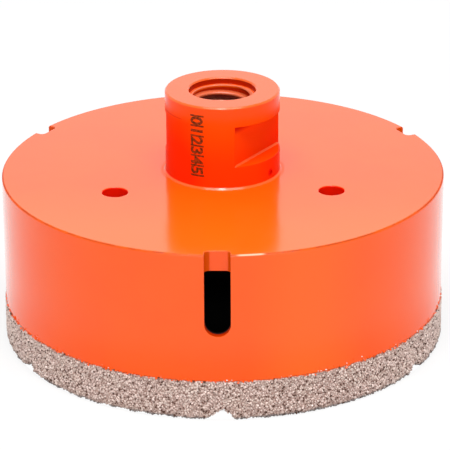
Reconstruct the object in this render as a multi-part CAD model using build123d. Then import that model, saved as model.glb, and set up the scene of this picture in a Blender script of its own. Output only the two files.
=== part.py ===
from build123d import *
import math
import os

# A dry diamond core bit, standing on its cutting edge.
# Millimetres, +Z up. The origin is the centre of the cutting edge: the bit's own
# axis is Z, the floor it stands on is Z = 0, and the first side slot faces -Y.

# ---- driving dimensions: the cutting end
cutting_diameter = 105.0     # over the diamond grit
grit_proud = 0.3             # how far the grit stands outside the painted barrel
grit_coat = 0.5              # thickness of the brazed grit on the steel
crown_height = 9.6           # from the cutting edge to the top of the grit
crown_edge_chamfer = 0.65    # slope of the grit at the cutting edge, inside and out
crown_notch_count = 6
crown_notch_angle = 88.0     # between the two sides
crown_notch_height = 2.6     # cutting edge to the crest of the notch
crown_notch_crest_radius = 0.7
crown_notch_mouth_radius = 0.8
crown_notch_mouth_drop = 0.2 # how far below the cutting edge that rounding would run level

# ---- driving dimensions: barrel and end plate
body_height = 40.3           # cutting edge to the top face of the end plate
barrel_wall = 2.5
plate_thickness = 4.8
rim_chamfer = 0.35           # on the plate's outer top edge
slot_count = 3
slot_width = 5.9
slot_floor = 20.5            # height of the slot's round lower end
slot_depth_in_plate = 2.6    # how deep the slot bites into the plate's rim
slot_corner_radius = 1.2     # in the plate, at the slot's two inner corners
vent_count = 3
vent_diameter = 5.9
vent_circle = 58.0           # circle through the vent centres
vent_chamfer = 0.2

# ---- driving dimensions: hub
hub_diameter = 27.0
hub_height = 20.1            # above the plate
hub_chamfer = 0.35
spigot_diameter = 20.0       # turned end of the hub that sits in the plate
thread_diameter = 14.0       # nominal size of the spindle thread
mouth_diameter = 15.6        # plain relief in front of the thread
mouth_depth = 1.6
mouth_chamfer = 0.3
flats_across = 19.0          # between the two spanner flats
flats_height = 9.8
collar_height = 4.9          # full round left above the flats
weld_leg = 0.5               # fillet weld round the foot of the hub
dimple_diameter = 1.0        # centre mark below the first flat
dimple_depth = 0.5
dimple_height = 1.9          # above the plate

# ---- how the parts are clocked about Z, in degrees
first_slot_angle = -90.0
vent_lead = 1.8              # plate holes, ahead of the middle between two slots
notch_lead = 0.9             # crown notches, ahead of the slots
flat_angle = -31.6           # direction that the first spanner flat faces

# ---- fits
spigot_clearance = 0.0       # hub spigot in the plate, a tight fit closed by the weld
cut_margin = 2.0             # how far a cutter runs past the faces it cuts

# ---- worked out from the above
cutting_radius = cutting_diameter / 2
barrel_radius = cutting_radius - grit_proud
seat_radius = cutting_radius - grit_coat
bore_radius = barrel_radius - barrel_wall
plate_underside = body_height - plate_thickness
hub_radius = hub_diameter / 2
hub_top = body_height + hub_height
spigot_radius = spigot_diameter / 2
thread_radius = thread_diameter / 2
mouth_radius = mouth_diameter / 2
flats_top = hub_top - collar_height
flats_bottom = flats_top - flats_height


def ring(outer, inner, bottom, top):
    """A plain ring about Z between two heights."""
    middle = (bottom + top) / 2
    height = top - bottom
    return Pos(0, 0, middle) * (Cylinder(outer, height) - Cylinder(inner, height))


def around_axis(shape, count, first_angle):
    """Copies of a shape made facing +X, spread evenly round Z."""
    step = 360.0 / count
    return [Rot(0, 0, first_angle + step * index) * shape for index in range(count)]


def edges_at(solid, radius, height):
    """The circular edges of a turned solid that have this radius and height."""
    circles = solid.edges().filter_by(GeomType.CIRCLE)
    near = 1e-4
    return [
        edge
        for edge in circles
        if abs(edge.radius - radius) < near and abs(edge.center().Z - height) < near
    ]


def facing_x(outline, inner, outer):
    """An outline drawn across the axis, run outwards along +X from inner to outer.

    The outline's X is the direction round the bit and its Y is the height.
    """
    plane = Plane(origin=(inner, 0, 0), x_dir=(0, 1, 0), z_dir=(1, 0, 0))
    return extrude(plane * outline, amount=outer - inner)


# ---- side slots, open at the top

def slot_outline():
    """Round-ended slot, run on past the top of the bit."""
    half = slot_width / 2
    straight_bottom = slot_floor + half
    straight_top = body_height + cut_margin
    height = straight_top - straight_bottom
    straight = Pos(0, straight_bottom + height / 2) * Rectangle(slot_width, height)
    return straight + Pos(0, straight_bottom) * Circle(half)


def barrel_slots():
    cutter = facing_x(slot_outline(), bore_radius - cut_margin, barrel_radius + cut_margin)
    return around_axis(cutter, slot_count, first_slot_angle)


def plate_slots():
    """Where the slots bite into the plate's rim: square pockets with round inner corners."""
    length = slot_depth_in_plate + cut_margin
    middle = barrel_radius + cut_margin - length / 2
    height = plate_thickness + 2 * cut_margin
    pocket = Pos(middle, 0, plate_underside + plate_thickness / 2) * Box(length, slot_width, height)
    inner_face = pocket.faces().sort_by(Axis.X)[0]
    pocket = fillet(inner_face.edges().filter_by(Axis.Z), slot_corner_radius)
    return around_axis(pocket, slot_count, first_slot_angle)


# ---- notches in the cutting edge

def crown_notch_outline():
    """The opening left in the grit: a rounded V that stands on the cutting edge."""
    slant = math.radians(crown_notch_angle / 2)
    point = crown_notch_height + crown_notch_crest_radius * (1 / math.sin(slant) - 1)
    floor = -crown_notch_mouth_drop
    half = (point - floor) * math.tan(slant)
    half_strip = half + 2 * crown_notch_mouth_radius + cut_margin
    sides = Polyline(
        (-half_strip, floor - cut_margin),
        (-half_strip, floor),
        (-half, floor),
        (0, point),
        (half, floor),
        (half_strip, floor),
        (half_strip, floor - cut_margin),
        close=True,
    )
    outline = make_face(sides)
    corners = outline.vertices()
    outline = fillet(corners.sort_by(Axis.Y)[-1], crown_notch_crest_radius)
    mouth = [v for v in outline.vertices() if abs(v.Y - floor) < 1e-6 and abs(v.X) < half_strip - 1e-6]
    return fillet(mouth, crown_notch_mouth_radius)


def notch_cutters(outline):
    first = first_slot_angle + notch_lead
    inner = bore_radius - grit_coat - cut_margin
    cutter = facing_x(outline, inner, cutting_radius + cut_margin)
    return around_axis(cutter, crown_notch_count, first)


# ---- the parts

def make_barrel():
    """Steel tube with three slots. Its lower end is turned down and notched for the grit."""
    tube = ring(barrel_radius, bore_radius, crown_height, plate_underside)
    seat = ring(seat_radius, bore_radius, grit_coat, crown_height)
    steel_notch = offset(crown_notch_outline(), amount=grit_coat)
    return tube + seat - barrel_slots() - notch_cutters(steel_notch)


def make_diamond_crown(barrel):
    """The brazed grit: one coat outside, under and inside the notched end of the barrel."""
    inner_radius = bore_radius - grit_coat
    envelope = ring(cutting_radius, inner_radius, 0, crown_height)
    rims = edges_at(envelope, cutting_radius, 0) + edges_at(envelope, inner_radius, 0)
    envelope = chamfer(rims, crown_edge_chamfer)
    return envelope - notch_cutters(crown_notch_outline()) - barrel


def make_end_plate():
    """Steel disc on the end of the barrel, with the hub's seat and three vent holes."""
    plate = ring(barrel_radius, spigot_radius + spigot_clearance, plate_underside, body_height)
    plate = chamfer(edges_at(plate, barrel_radius, body_height), rim_chamfer)
    middle = plate_underside + plate_thickness / 2
    vent = Pos(vent_circle / 2, 0, middle) * Cylinder(vent_diameter / 2, plate_thickness)
    half_step = 180.0 / vent_count
    plate = plate - around_axis(vent, vent_count, first_slot_angle + half_step + vent_lead)
    plate = chamfer(edges_at(plate, vent_diameter / 2, body_height), vent_chamfer)
    return plate - plate_slots()


def flat_cutters():
    """The two spanner flats, cut between the collar and the foot of the hub."""
    reach = hub_radius - flats_across / 2 + cut_margin
    middle = flats_across / 2 + reach / 2
    cutter = Pos(middle, 0, flats_bottom + flats_height / 2) * Box(reach, hub_diameter, flats_height)
    return around_axis(cutter, 2, flat_angle)


def make_hub():
    """Turned spindle socket: collar, spanner flats, foot and the spigot in the plate."""
    body = Pos(0, 0, body_height + hub_height / 2) * Cylinder(hub_radius, hub_height)
    body = chamfer(edges_at(body, hub_radius, hub_top), hub_chamfer)
    spigot = Pos(0, 0, plate_underside + plate_thickness / 2) * Cylinder(spigot_radius, plate_thickness)
    bore_length = hub_top - plate_underside
    bore = Pos(0, 0, plate_underside + bore_length / 2) * Cylinder(thread_radius, bore_length)
    mouth = Pos(0, 0, hub_top - mouth_depth / 2) * Cylinder(mouth_radius, mouth_depth)
    hub = body + spigot - bore - mouth
    hub = chamfer(edges_at(hub, mouth_radius, hub_top), mouth_chamfer)
    hub = hub - flat_cutters()
    mark = facing_x(
        Pos(0, body_height + dimple_height) * Circle(dimple_diameter / 2),
        hub_radius - dimple_depth,
        hub_radius + cut_margin,
    )
    return hub - Rot(0, 0, flat_angle) * mark


def make_hub_weld():
    """Fillet weld between the foot of the hub and the plate."""
    outline = Polyline(
        (hub_radius, 0, body_height),
        (hub_radius + weld_leg, 0, body_height),
        (hub_radius, 0, body_height + weld_leg),
        close=True,
    )
    return revolve(make_face(outline), axis=Axis.Z)


barrel = make_barrel()
parts = {
    "barrel": barrel,
    "diamond_crown": make_diamond_crown(barrel),
    "end_plate": make_end_plate(),
    "hub": make_hub(),
    "hub_weld": make_hub_weld(),
}

os.makedirs("parts", exist_ok=True)
for name, solid in parts.items():
    export_step(solid, "parts/" + name + ".step")
    print(name, round(solid.volume, 1), "mm3")
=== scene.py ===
import math
import random
from collections import namedtuple

import bmesh
import bpy
from mathutils import Matrix, Vector, noise


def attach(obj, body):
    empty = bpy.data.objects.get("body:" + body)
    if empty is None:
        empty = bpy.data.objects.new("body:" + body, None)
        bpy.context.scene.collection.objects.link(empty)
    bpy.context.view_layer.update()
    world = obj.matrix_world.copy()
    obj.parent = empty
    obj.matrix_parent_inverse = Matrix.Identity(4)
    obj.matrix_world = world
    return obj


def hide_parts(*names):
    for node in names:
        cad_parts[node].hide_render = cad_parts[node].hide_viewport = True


# A diamond core bit: a painted steel cup with a threaded hub, and a crown of brazed grit
# round its cutting edge. Lengths are written in millimetres and made metres on the way
# into a mesh or a material; only the floor and the lamps are in metres. The bit's axis is Z,
# it stands on Z = 0, and its first side slot faces -Y.

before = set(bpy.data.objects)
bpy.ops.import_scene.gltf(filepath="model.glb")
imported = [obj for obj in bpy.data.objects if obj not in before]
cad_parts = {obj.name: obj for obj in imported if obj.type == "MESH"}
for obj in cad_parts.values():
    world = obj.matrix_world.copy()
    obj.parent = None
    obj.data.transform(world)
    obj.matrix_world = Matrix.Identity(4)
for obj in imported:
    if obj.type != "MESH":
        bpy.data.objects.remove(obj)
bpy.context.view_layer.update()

MM = 0.001

# ---- sizes shared with the solids
CUTTING_RADIUS = 52.5
CROWN_BORE = 49.2
CROWN_TOP = 9.6
BARREL_RADIUS = 52.2
BARREL_BORE = 49.7
SEAT_RADIUS = 52.0
SEAT_BOTTOM = 0.5
PLATE_UNDERSIDE = 35.5
PLATE_TOP = 40.3
HUB_RADIUS = 13.5
HUB_TOP = 60.4
COLLAR_UNDERSIDE = 55.5
FLAT_DISTANCE = 9.5         # from the bit's axis to each spanner flat
FLAT_FOOT = 45.7
FLAT_ANGLE = -31.6          # the first flat's direction in degrees; the other faces away from it
THREAD_RADIUS = 7.0
MOUTH_DEPTH = 1.6
SIDE_SLOTS = 3


# ---- meshes

def add_piece(name, mesh_work, material, smooth=True):
    """A finished bmesh becomes an object at the origin, riding on the bit."""
    mesh = bpy.data.meshes.new(name)
    mesh_work.to_mesh(mesh)
    mesh_work.free()
    mesh.materials.append(material)
    if smooth:
        mesh.shade_smooth()
    else:
        mesh.shade_flat()
    piece = bpy.data.objects.new(name, mesh)
    bpy.context.scene.collection.objects.link(piece)
    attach(piece, "root")
    return piece


# ---- shader nodes

def blank_material(name):
    """A new material: its node tree and its Principled shader."""
    material = bpy.data.materials.new(name)
    material.use_nodes = True
    tree = material.node_tree
    return material, tree, tree.nodes["Principled BSDF"]


def feed(tree, socket, value):
    """Links another socket in, or sets a plain value."""
    if isinstance(value, bpy.types.NodeSocket):
        tree.links.new(value, socket)
    else:
        socket.default_value = value


def shader_node(tree, kind, **inputs):
    """One node with its sockets fed by name."""
    node = tree.nodes.new(kind)
    for name, value in inputs.items():
        feed(tree, node.inputs[name.replace("_", " ")], value)
    return node


def maths(tree, operation, first, second=0.0, third=0.0, clamp=False):
    """One step of arithmetic on sockets or plain numbers."""
    node = tree.nodes.new("ShaderNodeMath")
    node.operation = operation
    node.use_clamp = clamp
    for socket, value in zip(node.inputs, (first, second, third)):
        feed(tree, socket, value)
    return node.outputs[0]


def all_of(tree, *masks):
    """1 where every one of these masks is 1: their product."""
    product = masks[-1]
    for mask in reversed(masks[:-1]):
        product = maths(tree, "MULTIPLY", mask, product)
    return product


def any_of(tree, *masks):
    """1 where one of these masks is 1: the largest of them."""
    largest = masks[-1]
    for mask in reversed(masks[:-1]):
        largest = maths(tree, "MAXIMUM", mask, largest)
    return largest


def outside_of(tree, mask):
    """1 where the mask is 0."""
    return maths(tree, "SUBTRACT", 1.0, mask)


def distance_from(tree, value, middle):
    """How far value is from a middle in millimetres, on either side."""
    return maths(tree, "ABSOLUTE", maths(tree, "SUBTRACT", value, middle * MM))


def fade(tree, value, start, end, low=0.0, high=1.0):
    """Goes smoothly from low to high while value goes from start to end."""
    node = tree.nodes.new("ShaderNodeMapRange")
    node.interpolation_type = "SMOOTHSTEP"
    feed(tree, node.inputs["Value"], value)
    for name, number in (("From Min", start), ("From Max", end), ("To Min", low), ("To Max", high)):
        feed(tree, node.inputs[name], number)
    return node.outputs["Result"]


def fade_mm(tree, value, start, end, low=0.0, high=1.0):
    """The same for a length, with start and end in millimetres."""
    return fade(tree, value, start * MM, end * MM, low, high)


def inside(tree, value, low, high, blur):
    """1 where value lies between low and high, with soft ends; all in millimetres."""
    return all_of(tree, fade_mm(tree, value, low - blur, low + blur),
                  fade_mm(tree, value, high + blur, high - blur))


def blend_colours(tree, factor, first, second):
    """The first colour where factor is 0, and the second where it is 1."""
    node = tree.nodes.new("ShaderNodeMix")
    node.data_type = "RGBA"
    for index, value in ((0, factor), (6, first), (7, second)):
        feed(tree, node.inputs[index], value)
    return node.outputs[2]


def lay_coats(tree, colour, coats):
    """Lays one colour after another over the first, each as far as its mask lets it."""
    for mask, coat in coats:
        colour = blend_colours(tree, mask, colour, coat)
    return colour


def cloud(tree, where, size, detail=2.0, roughness=0.5):
    """Noise with blobs of about this size in millimetres."""
    node = shader_node(tree, "ShaderNodeTexNoise", Vector=where, Scale=1 / (size * MM), Detail=detail,
                       Roughness=roughness)
    return node.outputs["Fac"]


def mottle(tree, where, size, start, end, detail=3.0, roughness=0.5, low=0.0, high=1.0):
    """Noise made into soft patches: low where it is below start, and high where above end."""
    return fade(tree, cloud(tree, where, size, detail, roughness), start, end, low, high)


def ragged(tree, place, size, depth, detail=3.0, roughness=0.5):
    """The height shifted by noise up to this depth, so that a border drawn at it is ragged."""
    noise_here = cloud(tree, place.where, size, detail, roughness)
    return maths(tree, "MULTIPLY_ADD", noise_here, depth * MM, place.height)


def near_point(tree, where, point, reach, blur):
    """1 within this reach of a point, with a soft edge; all in millimetres."""
    gap = tree.nodes.new("ShaderNodeVectorMath")
    gap.operation = "DISTANCE"
    feed(tree, gap.inputs[0], where)
    feed(tree, gap.inputs[1], Vector(point) * MM)
    return fade_mm(tree, gap.outputs["Value"], reach + blur, reach - blur)


Place = namedtuple("Place", "where x y radius height")


def place_on_bit(tree):
    """The object coordinates, X, Y, the distance from the bit's axis and the height, in metres."""
    where = tree.nodes.new("ShaderNodeTexCoord").outputs["Object"]
    split = shader_node(tree, "ShaderNodeSeparateXYZ", Vector=where).outputs
    flat = shader_node(tree, "ShaderNodeCombineXYZ", X=split["X"], Y=split["Y"])
    length = tree.nodes.new("ShaderNodeVectorMath")
    length.operation = "LENGTH"
    feed(tree, length.inputs[0], flat.outputs["Vector"])
    return Place(where, split["X"], split["Y"], length.outputs["Value"], split["Z"])


# ---- finishes

# the enamel on the plate and on the wall, in patches where it thins; the wall painted a shade darker
# than the plate and darker still towards the crown, and painted light right of the front slot and
# towards the front; the rim's painted shade and painted glint, and the seat's painted highlight
ENAMEL = (0.98, 0.114, 0.002, 1.0)
ENAMEL_THIN = (0.95, 0.100, 0.002, 1.0)
ENAMEL_WALL_SHADED = (0.98, 0.102, 0.002, 1.0)
ENAMEL_WALL_THIN_SHADED = (0.97, 0.091, 0.002, 1.0)
ENAMEL_WALL_LIT = (0.98, 0.120, 0.004, 1.0)
ENAMEL_FRONT_LIT = (0.98, 0.143, 0.005, 1.0)
ENAMEL_RIM_SHADE = (0.60, 0.070, 0.010, 1.0)
ENAMEL_RIM_GLINT = (1.0, 0.50, 0.30, 1.0)
ENAMEL_SEAT_HIGHLIGHT = (1.0, 0.24, 0.12, 1.0)
# on the hub: its enamel in painted shade, painted shadow, the centre mark's painted shade, and the
# enamel pooled in corners
ENAMEL_HUB_SHADE = (0.98, 0.080, 0.001, 1.0)
ENAMEL_HUB_DEEP_SHADE = (0.98, 0.030, 0.001, 1.0)
ENAMEL_SHADED = (0.62, 0.004, 0.001, 1.0)
ENAMEL_DIMPLE_SHADE = (0.90, 0.006, 0.001, 1.0)
ENAMEL_CORNER = (0.99, 0.115, 0.006, 1.0)
ENAMEL_CORNER_DEEP = (0.98, 0.085, 0.004, 1.0)
# in the openings: painted shade on their walls, and overspray
ENAMEL_CHEEK_SHADE = (0.66, 0.075, 0.002, 1.0)
ENAMEL_HOLE_SHADE = (0.50, 0.020, 0.001, 1.0)
ENAMEL_SLOT_SHADE = (0.55, 0.030, 0.001, 1.0)
ENAMEL_VENT_SHADE = (1.0, 0.012, 0.001, 1.0)
OVERSPRAY = (0.62, 0.090, 0.008, 1.0)
THREAD_OVERSPRAY = (0.72, 0.13, 0.045, 1.0)
# steel, and the near-black painted shade inside the cup
BRAZED_STEEL = (0.30, 0.20, 0.17, 1.0)
BARE_STEEL = (0.40, 0.15, 0.11, 1.0)
THREAD_DARK = (0.32, 0.06, 0.03, 1.0)
THREAD_LIGHT = (0.52, 0.20, 0.13, 1.0)
CUP_SHADE_BLACK = (0.012, 0.011, 0.011, 1.0)
# the crown, with painted shade in its pits and along its cutting edge
BRAZE_DARK = (0.22, 0.125, 0.10, 1.0)
BRAZE_LIGHT = (0.54, 0.395, 0.345, 1.0)
GRAIN_DARK = (0.42, 0.285, 0.245, 1.0)
GRAIN_LIGHT = (0.91, 0.745, 0.68, 1.0)
GRAIN_GREENISH = (0.62, 0.60, 0.46, 1.0)
PIT_SHADE_AND_DARK_SPOTS = (0.10, 0.050, 0.034, 1.0)
GREY_EDGE_SHADE = (0.13, 0.12, 0.12, 1.0)
# the burnt mark
BURN_DARK = (0.10, 0.022, 0.001, 1.0)
BURN_LIGHT = (0.40, 0.045, 0.002, 1.0)

ENAMEL_IOR = 1.4
CLEAR_COAT_IOR = 1.15
GRAIN_IOR = 1.7
EDGE_ROUNDING = 0.35
DIMPLE = (11.3, -7.25, 42.3)        # the middle of the centre mark below the first flat
CHEEK_SHIFT = 0.27                  # how far the cheeks' painted shade is turned off a slot's middle

# Each mask below is bounded by radii and heights in millimetres, a little off the solids' edges.


def cup_mask(tree, place):
    """The inside of the cup, painted near black as shade: behind its wall, under the plate and at the
    vents' lower ends.
    """
    behind_wall = all_of(tree, fade_mm(tree, place.radius, 51.0, 50.2),
                         fade_mm(tree, place.height, 35.48, 35.44))
    under_plate = all_of(tree, fade_mm(tree, place.radius, 49.56, 49.5),
                         fade_mm(tree, place.height, 35.56, 35.52))
    down_vents = all_of(tree, fade_mm(tree, place.radius, 40.0, 39.0),
                        fade_mm(tree, place.height, 37.0, 36.0))
    return any_of(tree, behind_wall, under_plate, down_vents)


def hole_masks(tree, place):
    """The walls of the slots and of the vents, and those two together with the socket's walls, where
    the enamel is painted darker as shade.
    """
    slot_wall = all_of(tree, fade_mm(tree, place.radius, 52.1, 51.3),
                       fade_mm(tree, place.radius, 45.0, 46.0),
                       fade_mm(tree, place.height, 35.48, 35.44))
    vent_wall = all_of(tree, fade_mm(tree, place.radius, 45.0, 44.0),
                       fade_mm(tree, place.height, 40.28, 40.15))
    mouth_wall = all_of(tree, fade_mm(tree, place.radius, 8.0, 7.9),
                        inside(tree, place.height, 58.83, 60.05, 0.02))
    bore_wall = all_of(tree, fade_mm(tree, place.radius, 7.1, 7.05),
                       fade_mm(tree, place.height, 58.35, 58.25))
    return slot_wall, vent_wall, any_of(tree, slot_wall, vent_wall, mouth_wall, bore_wall)


def cheek_mask(tree, place):
    """The cheeks: the two side walls of each slot, where it cuts into the plate, painted darker as
    shade.
    """
    # One slot faces -Y and the others follow all round: a point's turn from the nearest of them.
    turn = maths(tree, "ARCTAN2", place.x, maths(tree, "MULTIPLY", place.y, -1.0))
    turn = maths(tree, "WRAP", turn, math.pi / SIDE_SLOTS, -math.pi / SIDE_SLOTS)
    off_slot = distance_from(tree, maths(tree, "MULTIPLY", turn, place.radius), CHEEK_SHIFT)
    return all_of(tree, inside(tree, off_slot, 2.05, 3.3, 0.2),
                  inside(tree, place.radius, 48.0, 52.0, 0.1),
                  fade_mm(tree, place.height, 40.2, 39.9))


def rim_masks(tree, place):
    """The line round the plate's rim, where it is painted darker as shade, and the one place on it
    with a painted glint.
    """
    rim = all_of(tree, fade_mm(tree, place.radius, 51.7, 51.9),
                 fade_mm(tree, place.height, 39.95, 40.1))
    glint_spot = all_of(tree, inside(tree, place.x, 4.6, 10.2, 0.8), fade_mm(tree, place.y, 0.0, -1.0))
    return all_of(tree, rim, outside_of(tree, glint_spot)), all_of(tree, rim, glint_spot, 0.8)


def wall_enamel(tree, place, thin_patches_and_low_shade):
    """The enamel on the cup's wall: a painted shade darker than the plate's, with painted light to the
    right of the front slot.
    """
    # painted light: the wall lighter to the right of the front slot
    lit_right_of_slot = all_of(tree, inside(tree, place.x, 12.0, 28.0, 7.0),
                           fade_mm(tree, place.y, 0.0, -10.0))
    return blend_colours(tree, lit_right_of_slot,
                         blend_colours(tree, thin_patches_and_low_shade, ENAMEL_WALL_SHADED, ENAMEL_WALL_THIN_SHADED), ENAMEL_WALL_LIT)


def hub_coats(tree, place, hub_wall):
    """The enamel on the hub in painted shade: deeper low down and towards the sides, a painted shadow
    below the collar, a painted line of shade on the left, and painted light on the flats' feet.
    """
    # painted shade: the hub deeper low down and towards the sides
    shade_aside = fade_mm(tree, distance_from(tree, place.x, 2.5), 5.0, 12.5, 0.0, 0.6)
    below_collar = fade_mm(tree, place.height, 57.6, 55.2)
    depth = maths(tree, "ADD", fade_mm(tree, place.height, 57.0, 45.0, 0.0, 0.6),
                  all_of(tree, shade_aside, below_collar), clamp=True)
    # painted light: the foot of each flat, which faces up, lighter than the shaded hub
    lit_flat_foot = all_of(tree, inside(tree, place.radius, 9.4, 13.4, 0.05),
                       inside(tree, place.height, FLAT_FOOT - 0.1, FLAT_FOOT + 0.1, 0.05))
    # painted shade: a faint dark line on the hub's left, under the collar
    turned_line_shade = all_of(tree, inside(tree, place.height, 56.3, 56.5, 0.1), hub_wall,
                       fade_mm(tree, place.x, -8.6, -9.8, 0.0, 0.5))
    # painted shadow under the collar's overhang, on the flats
    collar_shadow = all_of(tree, inside(tree, place.radius, 9.4, 13.3, 0.06),
                          fade_mm(tree, place.height, 53.3, 55.0, 0.0, 0.95),
                          fade_mm(tree, place.height, COLLAR_UNDERSIDE, COLLAR_UNDERSIDE - 0.05))
    return [
        (hub_wall, blend_colours(tree, depth, ENAMEL_HUB_SHADE, ENAMEL_HUB_DEEP_SHADE)),
        (maths(tree, "MULTIPLY", lit_flat_foot, 0.55), ENAMEL_HUB_SHADE),
        (turned_line_shade, ENAMEL_SHADED),
        (collar_shadow, ENAMEL_SHADED),
    ]


def painted_normal(tree, place, dimple):
    """The surface's direction under the paint, with rounded edges and a faint orange peel.

    The joint between barrel and plate, the weld and the centre mark aren't rounded: the paint
    hides the joint, and the other two are too small.
    """
    rounded = shader_node(tree, "ShaderNodeBevel", Radius=EDGE_ROUNDING * MM)
    rounded.samples = 6
    off_joint = fade_mm(tree, distance_from(tree, place.height, PLATE_UNDERSIDE), 0.4, 0.6)
    off_weld = any_of(tree, fade_mm(tree, place.radius, 15.0, 16.0),
                      fade_mm(tree, place.height, 40.9, 41.2))
    normal = tree.nodes.new("ShaderNodeMix")
    normal.data_type = "VECTOR"
    plain = tree.nodes.new("ShaderNodeNewGeometry").outputs["Normal"]
    feed(tree, normal.inputs[0], all_of(tree, off_joint, off_weld, outside_of(tree, dimple)))
    feed(tree, normal.inputs[4], plain)
    feed(tree, normal.inputs[5], rounded.outputs["Normal"])
    peel = shader_node(tree, "ShaderNodeBump", Strength=0.25, Distance=0.01 * MM,
                       Height=cloud(tree, place.where, 1.3), Normal=normal.outputs[1])
    return peel.outputs["Normal"]


def orange_enamel():
    """Glossy orange enamel outside, near-black painted shade in the cup, bare steel down the spindle
    bore.
    """
    material, tree, shader = blank_material("orange_enamel")
    place = place_on_bit(tree)
    in_cup = cup_mask(tree, place)
    in_bore = all_of(tree, fade_mm(tree, place.radius, 7.7, 7.4),
                     fade_mm(tree, ragged(tree, place, 1.6, 2.4), 58.6, 56.4))
    slot_wall, vent_wall, in_holes = hole_masks(tree, place)
    cheek = cheek_mask(tree, place)
    rim, painted_glint = rim_masks(tree, place)
    hub_wall = all_of(tree, inside(tree, place.radius, 8.5, 13.6, 0.05),
                      inside(tree, place.height, 40.5, 60.0, 0.1))
    # painted shade in and around the centre mark, wider than the mark
    dimple = near_point(tree, place.where, DIMPLE, 0.9, 0.25)
    # painted light: the plate's top lighter towards the front
    plate_front = all_of(tree, fade_mm(tree, place.y, -8.0, -44.0),
                         fade_mm(tree, place.height, 40.0, 40.25))

    # The colour, one coat over the other. The enamel pools and thins in patches, and the wall is
    # painted darker towards the crown as shade.
    thin_patches_and_low_shade = maths(tree, "ADD", mottle(tree, place.where, 14.0, 0.35, 0.65, high=0.5),
                 fade_mm(tree, place.height, 24.0, 10.0, 0.0, 0.5))
    # painted shade along the rim, in patches
    rim_shade_patches = mottle(tree, place.where, 3.0, 0.3, 0.6, low=0.45)
    # painted highlight on the inner edge of the socket's seat
    seat_highlight = all_of(tree, fade_mm(tree, place.radius, 7.5, 7.3),
                       inside(tree, place.height, 58.6, 58.82, 0.03))
    coats = [
        (thin_patches_and_low_shade, ENAMEL_THIN),
        (fade_mm(tree, place.height, PLATE_TOP - 0.1, PLATE_TOP - 0.3),
         wall_enamel(tree, place, thin_patches_and_low_shade)),
        (plate_front, ENAMEL_FRONT_LIT),
        (maths(tree, "MULTIPLY", rim, rim_shade_patches), ENAMEL_RIM_SHADE),
        (painted_glint, ENAMEL_RIM_GLINT),
        *hub_coats(tree, place, hub_wall),
        (dimple, ENAMEL_DIMPLE_SHADE),
        # painted shade on the slots' cheeks
        (cheek, ENAMEL_CHEEK_SHADE),
        # painted shade on the walls of the openings
        (in_holes, ENAMEL_HOLE_SHADE),
        (seat_highlight, ENAMEL_SEAT_HIGHLIGHT),
        (slot_wall, ENAMEL_SLOT_SHADE),
        (vent_wall, ENAMEL_VENT_SHADE),
        # the paint darker in a ragged band just above the crown
        (fade_mm(tree, ragged(tree, place, 0.7, -0.8), 9.42, 9.25), OVERSPRAY),
        (fade_mm(tree, place.height, 8.8, 8.0), BRAZED_STEEL),
        (in_bore, BARE_STEEL),
        (in_cup, CUP_SHADE_BLACK),
    ]
    feed(tree, shader.inputs["Base Color"], lay_coats(tree, ENAMEL, coats))

    # The gloss: duller at the crown, in the cup and in the bore.
    gloss = mottle(tree, place.where, 9.0, 0.3, 0.7, 4.0, 0.6, 0.12, 0.19)
    at_crown = fade_mm(tree, place.height, 15.0, 9.4, 0.0, 0.06)
    dull = maths(tree, "MULTIPLY", any_of(tree, in_bore, in_cup), 0.45)
    roughness = maths(tree, "ADD", maths(tree, "ADD", gloss, at_crown), dull, clamp=True)
    feed(tree, shader.inputs["Roughness"], roughness)

    # The reflections: weak on the hub, at the weld's ends, in the openings, on the rim and low down.
    weld_ends = all_of(tree, inside(tree, place.radius, 13.55, 14.6, 0.05),
                       fade_mm(tree, maths(tree, "ABSOLUTE", place.x), 8.5, 12.0, 0.0, 0.5))
    beside_hub = all_of(tree, hub_wall, fade_mm(tree, place.height, 59.0, 55.2, 0.6, 1.0))
    low_down = fade_mm(tree, place.height, 24.0, 10.5, 0.0, 0.45)
    matt = any_of(tree, beside_hub, weld_ends, in_holes, in_cup, rim, cheek, low_down)
    shine = fade(tree, matt, 0.0, 1.0, 0.5, 0.03)
    feed(tree, shader.inputs["Specular IOR Level"],
         maths(tree, "MULTIPLY_ADD", plate_front, 0.12, shine))
    feed(tree, shader.inputs["Coat Weight"], fade(tree, matt, 0.0, 0.9, 1.0, 0.0))
    shader.inputs["IOR"].default_value = ENAMEL_IOR
    shader.inputs["Coat IOR"].default_value = CLEAR_COAT_IOR
    shader.inputs["Coat Roughness"].default_value = 0.15
    feed(tree, shader.inputs["Normal"], painted_normal(tree, place, dimple))
    return material


def pooled_enamel():
    """Bright enamel where it ran together in an inner corner."""
    material, tree, shader = blank_material("pooled_enamel")
    runs = mottle(tree, place_on_bit(tree).where, 2.5, 0.3, 0.7, 2.0)
    feed(tree, shader.inputs["Base Color"],
         blend_colours(tree, runs, ENAMEL_CORNER, ENAMEL_CORNER_DEEP))
    shader.inputs["Roughness"].default_value = 0.3
    shader.inputs["Specular IOR Level"].default_value = 0.2
    return material


def over_sprayed(tree, place):
    """How much paint reached the crown's upper edge, in ragged patches."""
    return fade_mm(tree, ragged(tree, place, 0.9, 1.6, 3.0, 0.6), 10.15, 10.5, 0.0, 0.95)


def soiled(tree, place):
    """How grey the crown is painted along its cutting edge, in patches: painted shade where the edge
    turns down to the floor.
    """
    return fade_mm(tree, ragged(tree, place, 2.0, 1.6, 2.0), 1.75, 1.15, 0.0, 0.8)


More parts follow.
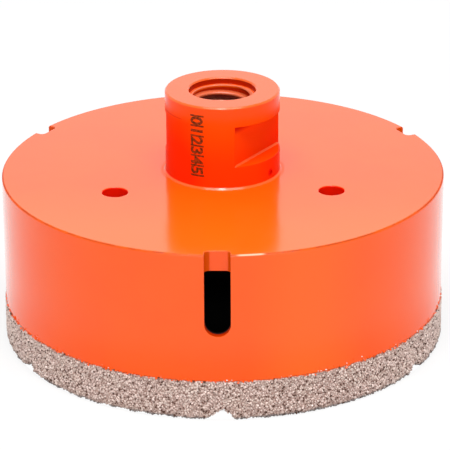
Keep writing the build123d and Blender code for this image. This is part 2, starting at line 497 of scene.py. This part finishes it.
def nickel_braze():
    """The dull brown braze between the grains, darker in its small hollows."""
    material, tree, shader = blank_material("nickel_braze")
    place = place_on_bit(tree)
    hollows = mottle(tree, place.where, 0.5, 0.32, 0.62, 3.0, 0.6)
    colour = lay_coats(tree, BRAZE_DARK, (
        (hollows, BRAZE_LIGHT),
        (over_sprayed(tree, place), OVERSPRAY),
        (soiled(tree, place), GREY_EDGE_SHADE),
    ))
    feed(tree, shader.inputs["Base Color"], colour)
    shader.inputs["Roughness"].default_value = 0.45
    shader.inputs["Metallic"].default_value = 0.1
    shader.inputs["Specular IOR Level"].default_value = 0.15
    grainy = shader_node(tree, "ShaderNodeBump", Strength=0.6, Distance=0.08 * MM,
                         Height=cloud(tree, place.where, 0.25))
    feed(tree, shader.inputs["Normal"], grainy.outputs["Normal"])
    return material


def diamond_grit():
    """Pale pinkish crystals, each with its own tone from 0 for dark to 1 for light.

    A tone above 1 is a grain under paint. One below 0 is a grain painted dark: the painted shade of
    the hollow that a lost grain left, and the dark spots of the border.
    """
    material, tree, shader = blank_material("diamond_grit")
    place = place_on_bit(tree)
    tone_node = tree.nodes.new("ShaderNodeAttribute")
    tone_node.attribute_name = "tone"
    tone = tone_node.outputs["Fac"]
    sprayed = over_sprayed(tree, place)
    # painted shade for the hollows of lost grains, and the border's dark spots
    pit_shade_and_dark_spots = fade(tree, tone, -0.2, -0.8)
    colour = lay_coats(tree, GRAIN_DARK, (
        (tone, GRAIN_LIGHT),
        (mottle(tree, place.where, 3.0, 0.42, 0.62, 2.0, high=0.10), GRAIN_GREENISH),
        (all_of(tree, sprayed, fade_mm(tree, place.height, 9.95, 9.8)), OVERSPRAY),
        (soiled(tree, place), GREY_EDGE_SHADE),
        (fade(tree, tone, 1.2, 1.8), ENAMEL),
        (pit_shade_and_dark_spots, PIT_SHADE_AND_DARK_SPOTS),
    ))
    feed(tree, shader.inputs["Base Color"], colour)
    feed(tree, shader.inputs["Roughness"], fade(tree, tone, 0.2, 1.0, 0.5, 0.22))
    shine = all_of(tree, fade(tree, sprayed, 0.0, 1.0, 0.5, 0.15),
                   fade(tree, pit_shade_and_dark_spots, 1.0, 0.0, 0.1, 1.0))
    feed(tree, shader.inputs["Specular IOR Level"], shine)
    shader.inputs["IOR"].default_value = GRAIN_IOR
    return material


def thread_steel():
    """Cut thread: overspray on the first turn, then bare brownish steel."""
    material, tree, shader = blank_material("thread_steel")
    place = place_on_bit(tree)
    sprayed = fade_mm(tree, ragged(tree, place, 1.5, 2.6), 56.0, 58.4)
    streaks = mottle(tree, place.where, 0.8, 0.3, 0.7)
    colour = lay_coats(tree, THREAD_DARK, ((streaks, THREAD_LIGHT), (sprayed, THREAD_OVERSPRAY)))
    feed(tree, shader.inputs["Base Color"], colour)
    feed(tree, shader.inputs["Metallic"], fade(tree, sprayed, 1.0, 0.0, 0.0, 0.6))
    shader.inputs["Roughness"].default_value = 0.3
    return material


def etched_brown():
    """The brown of a mark burnt into the enamel, darker where the beam dwelt."""
    material, tree, shader = blank_material("etched_brown")
    burn = mottle(tree, place_on_bit(tree).where, 0.5, 0.35, 0.7, 3.0, 0.6)
    feed(tree, shader.inputs["Base Color"], blend_colours(tree, burn, BURN_DARK, BURN_LIGHT))
    shader.inputs["Roughness"].default_value = 0.6
    shader.inputs["Specular IOR Level"].default_value = 0.15
    return material


enamel = orange_enamel()
for node_name in ("barrel", "end_plate", "hub", "hub_weld"):
    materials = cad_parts[node_name].data.materials
    materials.clear()
    materials.append(enamel)


# ---- the crown: a bed of braze with grains standing in it

BED_OUTER = 52.18
BED_BORE = 49.52
BED_BOTTOM = 0.06
BED_CORNER = 0.7
BED_SUNK = 0.02                         # how far its back lies within the barrel's end
BED_STEPS = 1080                        # round the bit
WALL_STEPS = 12
CORNER_STEPS = 6
BED_LUMPS = ((1.6, 0.05), (4.0, 0.04))  # the fineness and the height of each wave of lumps
LUMPY_FROM = SEAT_RADIUS + 0.05         # the bed's face outside this has lumps, its back has none

# The cutting edge is worn in waves, each with its fineness and height, and least on one side.
WEAR_WAVES = ((0.33, 0.8), (0.8, 0.4))
WEAR_MEAN = 0.2
WEAR_MOST = 0.42
LEAST_WORN_BY = 0.35
LEAST_WORN_AT = math.radians(-20.0)

# Each notch in the cutting edge: its direction in degrees, how far it opens to the left and to the
# right as seen from outside, and its height. The second is a chip beside the first.
NOTCHES = (
    (-88.7, 4.0, 2.1, 2.65),
    (-87.2, 1.8, 1.1, 1.8),
    (-29.6, 2.7, 2.5, 2.35),
    (30.4, 2.8, 2.7, 2.5),
    (90.9, 2.6, 2.9, 2.6),
    (151.2, 2.9, 2.6, 2.45),
    (-149.0, 2.6, 2.8, 2.6),
)
CREST_SOFTNESS = 0.32
FOOT_SOFTNESS = 0.35
FOOT_TAIL = 0.02                        # of a notch's soft foot, cut off


def rough(spot, waves, level=0.0):
    """A level with waves of noise on it at this spot."""
    for fineness, height in waves:
        level += height * noise.noise(spot * fineness)
    return level


def soft_above(value, softness):
    """value where it is well above 0, and a smooth run to 0 below."""
    return (value + math.hypot(value, softness)) / 2


def notch_rise(angle):
    """How far the notches lift the cutting edge at this direction."""
    rise = 0.0
    for middle, left, right, height in NOTCHES:
        turn = (math.degrees(angle) - middle + 180.0) % 360.0 - 180.0
        offset = math.radians(turn) * BARREL_RADIUS
        reach = right if offset > 0 else left
        slope = (height + CREST_SOFTNESS) / reach
        ridge = height + CREST_SOFTNESS - math.hypot(offset * slope, CREST_SOFTNESS)
        rise = max(rise, soft_above(ridge, FOOT_SOFTNESS) - FOOT_TAIL)
    return rise


def edge_wear(angle):
    """How far wear lifts the cutting edge at this direction."""
    spot = Vector((math.cos(angle), math.sin(angle), 0.0)) * BARREL_RADIUS
    wear = rough(spot, WEAR_WAVES, WEAR_MEAN)
    wear -= LEAST_WORN_BY * math.cos(angle - LEAST_WORN_AT)
    return min(WEAR_MOST, max(0.0, wear))


def lifted(height, angle):
    """A height in the crown, squeezed up where the cutting edge is notched or worn."""
    rise = max(notch_rise(angle), edge_wear(angle))
    return rise + height * (1 - rise / CROWN_TOP)


def crown_outline():
    """The section of the bed, from the outer top round the cutting edge to the inner top.

    Each point is radius, height and the direction that the surface faces, all in the section.
    """
    wall_height = CROWN_TOP - BED_BOTTOM - BED_CORNER
    wall = [CROWN_TOP - wall_height * i / WALL_STEPS for i in range(WALL_STEPS + 1)]
    points = [(BED_OUTER, height, 1.0, 0.0) for height in wall]
    for i in range(1, CORNER_STEPS + 1):
        a = math.pi / 2 * i / CORNER_STEPS
        points.append((BED_OUTER - BED_CORNER + BED_CORNER * math.cos(a),
                       BED_BOTTOM + BED_CORNER - BED_CORNER * math.sin(a), math.cos(a), -math.sin(a)))
    for i in range(CORNER_STEPS + 1):
        a = math.pi / 2 * i / CORNER_STEPS
        points.append((BED_BORE + BED_CORNER - BED_CORNER * math.sin(a),
                       BED_BOTTOM + BED_CORNER - BED_CORNER * math.cos(a), -math.sin(a), -math.cos(a)))
    for height in reversed(wall[:-1]):
        points.append((BED_BORE, height, -1.0, 0.0))
    return points


# The outline's points, how far along it each lies, and where its outer wall and its edge end.
OUTLINE = crown_outline()
REACHES = [0.0]
for before, after in zip(OUTLINE, OUTLINE[1:]):
    REACHES.append(REACHES[-1] + math.hypot(after[0] - before[0], after[1] - before[1]))
OUTER_END = CROWN_TOP - BED_BOTTOM - BED_CORNER
EDGE_END = REACHES[-1] - OUTER_END


def on_outline(reach):
    """Radius, height and facing at this length along the bed's section."""
    for index in range(1, len(REACHES)):
        if reach <= REACHES[index] or index == len(REACHES) - 1:
            share = (reach - REACHES[index - 1]) / (REACHES[index] - REACHES[index - 1])
            return [a + (b - a) * share for a, b in zip(OUTLINE[index - 1], OUTLINE[index])]


def make_braze_bed():
    """A turned U-shaped coat, lifted where the edge is notched or worn, and roughened."""
    work = bmesh.new()
    section = [(r, z) for r, z, _, _ in OUTLINE]
    section += [(BARREL_BORE + BED_SUNK, z) for z in (CROWN_TOP, SEAT_BOTTOM + BED_SUNK)]
    section += [(SEAT_RADIUS - BED_SUNK, z) for z in (SEAT_BOTTOM + BED_SUNK, CROWN_TOP)]
    corners = [work.verts.new((r, 0, z)) for r, z in section]
    loop = [work.edges.new(pair) for pair in zip(corners, corners[1:] + corners[:1])]
    bmesh.ops.spin(work, geom=corners + loop, cent=(0, 0, 0), axis=(0, 0, 1), angle=math.tau,
                   steps=BED_STEPS, use_merge=True)
    for vert in work.verts:
        radius = math.hypot(vert.co.x, vert.co.y)
        angle = math.atan2(vert.co.y, vert.co.x)
        lump = rough(vert.co, BED_LUMPS)
        if radius > LUMPY_FROM:
            radius += lump
        elif radius < BARREL_BORE:
            radius -= lump
        vert.co = Vector((radius * math.cos(angle), radius * math.sin(angle),
                          lifted(vert.co.z, angle))) * MM
    bmesh.ops.recalc_face_normals(work, faces=work.faces)
    return work


GRAIN_STEP = 0.62                       # from grain to grain in a row
ROW_STEP = 0.50                         # from row to row
GRAINS_AT_ONCE = 100
GRAIN_SHIFT = 0.2                       # off its row
GRAIN_TURN = 0.3                        # off its place in the row, as a share of a step
GRAIN_RISE = 0.08                       # in or out of the bed
GRAIN_SIZES = (0.21, 0.34)
GRAIN_STRETCHES = ((0.75, 1.15), (0.8, 1.2), (0.85, 1.3))
GRAIN_BREAKS = 0.22                     # how far a grain's corners are off, as a share of its size
GRAIN_TONES = (0.52, 0.27)              # the mean and the spread
RIM_GAP = 0.005                         # kept from the crown's own cylinders
# a grain painted dark stands for the shade of the hollow that a lost grain left
PIT_SHARE = 0.155
PIT_SIZE = 0.72                         # beside the grain that was lost
PITS_FROM = 0.8                         # below the crown's upper edge
PIT_SHADE_TONE = -1.0
# the first row, which makes the crown's ragged border
BORDER_WIDTH = 0.45
BORDER_SHIFTS = (-0.15, 0.3)
BORDER_PAINTED = 0.2                    # the share of its grains that are painted
BORDER_DARK = 0.09                      # and the share that are dark
PAINTED_TONE = 1.9
DARK_TONE = -0.7
# the grains about the outer corner of the cutting edge, which are larger, and painted darker as shade
EDGE_AT = 0.1                           # past the end of the outer wall
EDGE_WIDTH = 0.7
EDGE_SIZES = (0.9, 1.3)
EDGE_SHADE_BY = 0.6
EDGE_DARKEST_SHADE = -0.5
# the grains scattered above the border
STRAY_SIZES = (0.10, 0.22)
STRAY_REACH = 1.1
STRAY_TONE = 2.0
PALE_STRAYS = 0.06                      # the share left pale: bare crystal through the paint, with a painted glint
PALE_STRAY_TONES = (1.35, 1.6)


def add_grain(work, tone_layer, chance, spot, size, tone):
    """One crystal: an icosphere pulled out of round and turned at random."""
    turn = Matrix.Rotation(chance.uniform(0, math.tau), 4, Vector(
        (chance.gauss(0, 1), chance.gauss(0, 1), chance.gauss(0, 1))).normalized())
    stretch = Matrix.Diagonal([chance.uniform(*limits) for limits in GRAIN_STRETCHES] + [1.0])
    made = bmesh.ops.create_icosphere(work, subdivisions=1, radius=size,
                                      matrix=Matrix.Translation(spot) @ turn @ stretch)
    for vert in made["verts"]:
        shift = Vector((chance.uniform(-1, 1), chance.uniform(-1, 1), chance.uniform(-1, 1)))
        point = vert.co + shift * size * GRAIN_BREAKS
        radius = math.hypot(point.x, point.y)
        kept = min(CUTTING_RADIUS - RIM_GAP, max(CROWN_BORE + RIM_GAP, radius))
        point.x *= kept / radius
        point.y *= kept / radius
        point.z = max(0.0, point.z)
        vert.co = point * MM
        vert[tone_layer] = tone


def on_cylinder(radius, angle, height):
    """The point at this distance from the bit's axis, direction and height."""
    return Vector((radius * math.cos(angle), radius * math.sin(angle), height))


def place_grain(chance, reach, index, row, count):
    """Where one grain of a row stands in the bed, its size and its tone."""
    here = reach + chance.uniform(-GRAIN_SHIFT, GRAIN_SHIFT)
    radius, height, out, up = on_outline(max(0.0, min(REACHES[-1], here)))
    step = index + row % 2 / 2 + chance.uniform(-GRAIN_TURN, GRAIN_TURN)
    angle = math.tau * step / count
    size = chance.uniform(*GRAIN_SIZES)
    rise = chance.uniform(-GRAIN_RISE, GRAIN_RISE)
    tone = min(1.0, max(0.0, chance.gauss(*GRAIN_TONES)))
    if chance.random() < PIT_SHARE and here > PITS_FROM:
        size *= PIT_SIZE
        rise = 0.0
        tone = PIT_SHADE_TONE
    radius += out * rise
    height = lifted(height, angle) + up * rise
    if here < BORDER_WIDTH:
        height += chance.uniform(*BORDER_SHIFTS)
        draw = chance.random()
        if draw < BORDER_PAINTED:
            tone = PAINTED_TONE
        elif draw > 1 - BORDER_DARK:
            tone = DARK_TONE
    off_edge = abs(here - OUTER_END - EDGE_AT)
    if off_edge < EDGE_WIDTH:
        size *= chance.uniform(*EDGE_SIZES)
        # painted shade: the edge's grains darker
        if tone >= 0:
            tone = max(EDGE_DARKEST_SHADE, tone - EDGE_SHADE_BY * (1 - off_edge / EDGE_WIDTH))
    return on_cylinder(radius, angle, height), size, tone


def place_stray(chance):
    """Where one grain lies on the barrel just above the crown, painted over, or left pale as bare
    crystal with a painted glint.
    """
    angle = chance.uniform(0, math.tau)
    height = CROWN_TOP + chance.uniform(0.0, 1.0) ** 2 * STRAY_REACH
    is_pale = chance.random() < PALE_STRAYS
    size = chance.uniform(*STRAY_SIZES)
    tone = chance.uniform(*PALE_STRAY_TONES) if is_pale else STRAY_TONE
    return on_cylinder(BARREL_RADIUS, angle, height), size, tone


def make_grains(first, last, seed, strays):
    """Grains all round the bit, on the part of the section between two lengths along it.

    In the first row, just below the paint, some grains are painted and some are dark. Those at
    the cutting edge are painted darker than the rest, as shade. The strays lie on the barrel above the
    crown.
    """
    chance = random.Random(seed)
    spots = []
    rows = max(1, round((last - first) / ROW_STEP))
    for row in range(rows):
        reach = first + (last - first) * (row + 0.5) / rows
        count = round(math.tau * on_outline(reach)[0] / GRAIN_STEP)
        spots += [place_grain(chance, reach, index, row, count) for index in range(count)]
    spots += [place_stray(chance) for _ in range(strays)]
    # A small batch at a time, since adding a grain takes longer the more the mesh already holds.
    whole = bmesh.new()
    batch_mesh = bpy.data.meshes.new("grain_batch")
    for start in range(0, len(spots), GRAINS_AT_ONCE):
        batch = bmesh.new()
        tone_layer = batch.verts.layers.float.new("tone")
        for spot, size, tone in spots[start:start + GRAINS_AT_ONCE]:
            add_grain(batch, tone_layer, chance, spot, size, tone)
        batch.to_mesh(batch_mesh)
        batch.free()
        whole.from_mesh(batch_mesh)
    bpy.data.meshes.remove(batch_mesh)
    return whole


braze = nickel_braze()
grit = diamond_grit()
bed = add_piece("braze_bed", make_braze_bed(), braze)
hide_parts("diamond_crown")
for name, first, last, seed, strays in (
    ("grit_outer", 0.0, OUTER_END, 11, 400),
    ("grit_edge", OUTER_END, EDGE_END, 12, 0),
    ("grit_inner", EDGE_END, REACHES[-1], 13, 0),
):
    grains = add_piece(name, make_grains(first, last, seed, strays), grit, smooth=False)


# ---- the spindle thread

THREAD_PITCH = 2.0
THREAD_MINOR = 6.1
THREAD_SUNK = 0.03          # how far its root lies in the bore's wall, and its top below the mouth
THREAD_ROOT = THREAD_RADIUS + THREAD_SUNK
THREAD_TOP = HUB_TOP - MOUTH_DEPTH - THREAD_SUNK
THREAD_BOTTOM = PLATE_UNDERSIDE + 0.3
THREAD_END_GAP = 0.05
HALF_ROOT = THREAD_PITCH * 0.36
HALF_CREST = THREAD_PITCH * 0.11
FULL_AT = 315.0             # direction above which the ridge starts to run out, in degrees
STEPS_A_TURN = 72


def make_spindle_thread():
    """One helical ridge down the whole bore, which runs out to nothing at both ends."""
    work = bmesh.new()
    turns = (THREAD_TOP - THREAD_BOTTOM - 2 * THREAD_END_GAP) / THREAD_PITCH
    full_turn = (THREAD_TOP - HALF_ROOT - THREAD_BOTTOM) / THREAD_PITCH
    first = math.radians(FULL_AT) - full_turn * math.tau
    section = [(THREAD_ROOT, -HALF_ROOT), (THREAD_MINOR, -HALF_CREST),
               (THREAD_MINOR, HALF_CREST), (THREAD_ROOT, HALF_ROOT)]
    corners = [work.verts.new((r * math.cos(first), r * math.sin(first), z)) for r, z in section]
    end = work.faces.new(corners)
    steps = round(turns * STEPS_A_TURN)
    bmesh.ops.spin(work, geom=[end] + list(end.edges) + corners, cent=(0, 0, 0), axis=(0, 0, 1),
                   dvec=(0, 0, turns * THREAD_PITCH / steps), angle=turns * math.tau, steps=steps)
    # Each section shrinks towards its root so that it stays between the two ends of the bore.
    rise = THREAD_PITCH / STEPS_A_TURN
    for index, vert in enumerate(work.verts):
        climb = (index // len(section)) * rise
        middle = THREAD_BOTTOM + THREAD_END_GAP + climb
        size = min(1.0, (THREAD_TOP - middle) / HALF_ROOT, (middle - THREAD_BOTTOM) / HALF_ROOT)
        radius = math.hypot(vert.co.x, vert.co.y)
        kept = THREAD_ROOT - (THREAD_ROOT - radius) * size
        offset = vert.co.z - climb
        vert.co = Vector((vert.co.x * kept / radius, vert.co.y * kept / radius,
                          middle + offset * size)) * MM
    bmesh.ops.recalc_face_normals(work, faces=work.faces)
    return work


add_piece("spindle_thread", make_spindle_thread(), thread_steel())


# ---- enamel pooled in the inner corner at the foot of each spanner flat

BEAD = 0.40
BEAD_SUNK = 0.02            # into the flat and into the step below it
BEAD_CURVE_STEPS = 6
BEAD_STEPS = 36             # along its length
BEAD_END_GAP = 0.15
BEAD_EDGE_GAP = 0.1         # kept from the hub's round
BEAD_LEAST = 0.05           # of its full thickness, at its ends


def make_flat_beads():
    """A hollow-faced bead along the foot of both flats, thinner towards its ends."""
    work = bmesh.new()
    section = [(-BEAD_SUNK, -BEAD_SUNK), (BEAD, -BEAD_SUNK)]
    for i in range(BEAD_CURVE_STEPS + 1):
        a = math.pi / 2 * i / BEAD_CURVE_STEPS
        section.append((BEAD - BEAD * math.sin(a), BEAD - BEAD * math.cos(a)))
    section.append((-BEAD_SUNK, BEAD))
    half = math.sqrt(HUB_RADIUS ** 2 - FLAT_DISTANCE ** 2) - BEAD_END_GAP
    for opposite in (0, 1):
        corners = [work.verts.new((across, -half, up)) for across, up in section]
        end = work.faces.new(corners)
        first = len(work.verts) - len(section)
        bmesh.ops.spin(work, geom=[end] + list(end.edges) + corners, cent=(0, 0, 0), axis=(0, 0, 1),
                       dvec=(0, 2 * half / BEAD_STEPS, 0), angle=0.0, steps=BEAD_STEPS)
        work.verts.ensure_lookup_table()
        turn = Matrix.Rotation(math.radians(FLAT_ANGLE + 180.0 * opposite), 3, "Z")
        for vert in work.verts[first:]:
            room = math.sqrt(HUB_RADIUS ** 2 - vert.co.y ** 2) - FLAT_DISTANCE - BEAD_EDGE_GAP
            size = min(1.0, max(BEAD_LEAST, room / BEAD))
            spot = (FLAT_DISTANCE + vert.co.x * size, vert.co.y, FLAT_FOOT + vert.co.z * size)
            vert.co = turn @ Vector(spot) * MM
    bmesh.ops.recalc_face_normals(work, faces=work.faces)
    return work


add_piece("flat_beads", make_flat_beads(), pooled_enamel())


# ---- a plain numbered scale on the side of the hub

SCALE_ANGLE = -114.5        # the direction that it faces, in degrees
SCALE_TOP = 58.1
SCALE_STEP = 2.45
SCALE_WIDTH = 3.4
SCALE_NUMBERS = 6
LINE_WIDTH = 0.42
DIGIT_HEIGHT = 3.0
DIGIT_BODY = 1.38           # the size to ask for, to get a figure of height 1
DIGIT_BOLDNESS = 0.13
STRIP_WIDTH = 0.28          # of the strips that follow the round wall
STRIPS_A_SIDE = 6
MARK_SUNK = 0.01
MARK_THICKNESS = 0.03


def digit_mesh(text):
    """A figure as a flat mesh, centred, in millimetres."""
    curve = bpy.data.curves.new("figure", "FONT")
    curve.body = text
    curve.size = DIGIT_HEIGHT * DIGIT_BODY
    curve.align_x = "CENTER"
    curve.resolution_u = 4
    curve.offset = DIGIT_BOLDNESS
    figure = bpy.data.objects.new("figure", curve)
    bpy.context.scene.collection.objects.link(figure)
    bpy.context.view_layer.update()
    mesh = bpy.data.meshes.new_from_object(figure)
    bpy.data.objects.remove(figure)
    bpy.data.curves.remove(curve)
    return mesh


def make_scale_marks():
    """Figures that read down the hub between short lines, wrapped on its wall."""
    work = bmesh.new()
    for index in range(SCALE_NUMBERS + 1):
        line = bmesh.ops.create_grid(work, x_segments=1, y_segments=1, size=0.5)["verts"]
        bmesh.ops.scale(work, vec=(LINE_WIDTH, SCALE_WIDTH, 1), verts=line)
        bmesh.ops.translate(work, vec=(index * SCALE_STEP, 0, 0), verts=line)
    for index in range(SCALE_NUMBERS):
        mesh = digit_mesh(str(index))
        mesh.transform(Matrix.Translation(((index + 0.5) * SCALE_STEP, -DIGIT_HEIGHT / 2, 0)))
        work.from_mesh(mesh)
        bpy.data.meshes.remove(mesh)
    for cut in range(-STRIPS_A_SIDE, STRIPS_A_SIDE + 1):
        bmesh.ops.bisect_plane(work, geom=work.verts[:] + work.edges[:] + work.faces[:],
                               plane_co=(0, cut * STRIP_WIDTH, 0), plane_no=(0, 1, 0))
    bmesh.ops.remove_doubles(work, verts=work.verts, dist=0.001)
    bmesh.ops.recalc_face_normals(work, faces=work.faces)
    made = bmesh.ops.extrude_face_region(work, geom=work.faces[:])
    raised = [item for item in made["geom"] if isinstance(item, bmesh.types.BMVert)]
    bmesh.ops.translate(work, vec=(0, 0, MARK_THICKNESS), verts=raised)
    for vert in work.verts:
        down, across, out = vert.co
        angle = math.radians(SCALE_ANGLE) + across / HUB_RADIUS
        vert.co = on_cylinder(HUB_RADIUS - MARK_SUNK + out, angle, SCALE_TOP - down) * MM
    bmesh.ops.recalc_face_normals(work, faces=work.faces)
    return work


add_piece("scale_marks", make_scale_marks(), etched_brown(), smooth=False)


# ---- floor, light and camera

WHITE = (1.0, 1.0, 1.0, 1.0)
FLOOR_WHITE = (0.9, 0.9, 0.9, 1.0)
UNDER_BIT_SHADOW = (0.01, 0.01, 0.01, 1.0)
FLOOR_SIZE = 3.0        # half its width, in metres
FLOOR_GLOW = 0.75       # how much of the floor's white is its own, where a camera or a mirror sees it
WORLD_LIGHT = 0.45      # how strongly the white surroundings light the bit; seen, they are full white


def seen_ray(tree):
    """1 for the rays that show a background: camera, glossy and transmission."""
    path = tree.nodes.new("ShaderNodeLightPath").outputs
    return any_of(tree, path["Is Camera Ray"], path["Is Glossy Ray"], path["Is Transmission Ray"])


def white_floor():
    """Dull white that shines a little where it is seen, painted nearly black under the cup as shadow,
    and glowing full white under the crown, where the shadow is taken out.
    """
    material, tree, shader = blank_material("white_floor")
    radius = place_on_bit(tree).radius
    # painted shadow: the floor nearly black under the cup
    open_floor = fade_mm(tree, radius, 45.0, 47.0)
    feed(tree, shader.inputs["Base Color"],
         blend_colours(tree, open_floor, UNDER_BIT_SHADOW, FLOOR_WHITE))
    shader.inputs["Roughness"].default_value = 0.9
    shader.inputs["Specular IOR Level"].default_value = 0.0
    # Painted light: the band under the crown shows through the notches, so it glows full white and its
    # shadow is taken out.
    glow_under_crown = maths(tree, "MULTIPLY", inside(tree, radius, 47.6, 52.0, 0.4), 1.0 - FLOOR_GLOW)
    glow = all_of(tree, maths(tree, "ADD", glow_under_crown, FLOOR_GLOW), open_floor)
    lit = tree.nodes.new("ShaderNodeMixShader")
    feed(tree, lit.inputs[0], all_of(tree, glow, seen_ray(tree)))
    feed(tree, lit.inputs[1], shader.outputs[0])
    white = shader_node(tree, "ShaderNodeEmission", Color=WHITE, Strength=1.0)
    feed(tree, lit.inputs[2], white.outputs[0])
    feed(tree, tree.nodes["Material Output"].inputs["Surface"], lit.outputs[0])
    return material


def lay_floor():
    """A flat floor at Z = 0, wide enough to fill the picture."""
    work = bmesh.new()
    bmesh.ops.create_grid(work, x_segments=1, y_segments=1, size=FLOOR_SIZE)
    mesh = bpy.data.meshes.new("floor")
    work.to_mesh(mesh)
    work.free()
    floor = bpy.data.objects.new("floor", mesh)
    bpy.context.scene.collection.objects.link(floor)
    mesh.materials.append(white_floor())


def light_world():
    """White surroundings that light the bit less than they show."""
    world = bpy.data.worlds.new("studio")
    bpy.context.scene.world = world
    world.use_nodes = True
    tree = world.node_tree
    background = tree.nodes["Background"]
    background.inputs["Color"].default_value = WHITE
    feed(tree, background.inputs["Strength"], fade(tree, seen_ray(tree), 0.0, 1.0, WORLD_LIGHT, 1.0))


def soft_lamp(name, place, target, width, height, power):
    """An area lamp that faces its target; all in metres and watts."""
    lamp = bpy.data.lights.new(name, "AREA")
    lamp.shape = "RECTANGLE"
    lamp.size = width
    lamp.size_y = height
    lamp.energy = power
    holder = bpy.data.objects.new(name, lamp)
    bpy.context.scene.collection.objects.link(holder)
    aim = Vector(target) - Vector(place)
    holder.matrix_world = Matrix.Translation(place) @ aim.to_track_quat("-Z", "Y").to_matrix().to_4x4()
    return holder


lay_floor()
light_world()
soft_lamp("overhead", (0.03, -0.35, 1.08), (0, 0, 0.03), 1.0, 0.9, 14.2)
glint = soft_lamp("glint", (-0.02, -0.44, 1.05), (0, 0, 0.05), 0.14, 0.08, 1.2)
glint.visible_diffuse = False

CAMERA_DISTANCE = 661.48
CAMERA_HEIGHT_ANGLE = 22.605
CAMERA_TURN = 1.47
CAMERA_ROLL = 0.345
AIM = (0.447, 0.0, 25.80)
FOCAL_LENGTH = 221.59
SENSOR = 36.0


def place_camera():
    """The camera looks along +Y and down at its aim, then is turned about the bit's axis."""
    camera = bpy.data.cameras.new("camera")
    camera.sensor_width = SENSOR
    camera.lens = FOCAL_LENGTH
    camera.clip_start = 0.01
    camera.clip_end = 20.0
    holder = bpy.data.objects.new("camera", camera)
    bpy.context.scene.collection.objects.link(holder)
    tilt = math.radians(CAMERA_HEIGHT_ANGLE)
    look = Vector((0, math.cos(tilt), -math.sin(tilt)))
    stand = Vector(AIM) - look * CAMERA_DISTANCE
    holder.matrix_world = (Matrix.Rotation(math.radians(CAMERA_TURN), 4, "Z")
                           @ Matrix.Translation(stand * MM)
                           @ Matrix.Rotation(math.radians(CAMERA_ROLL), 4, look)
                           @ look.to_track_quat("-Z", "Y").to_matrix().to_4x4())
    bpy.context.scene.camera = holder


place_camera()
bpy.context.scene.view_settings.view_transform = "Standard"
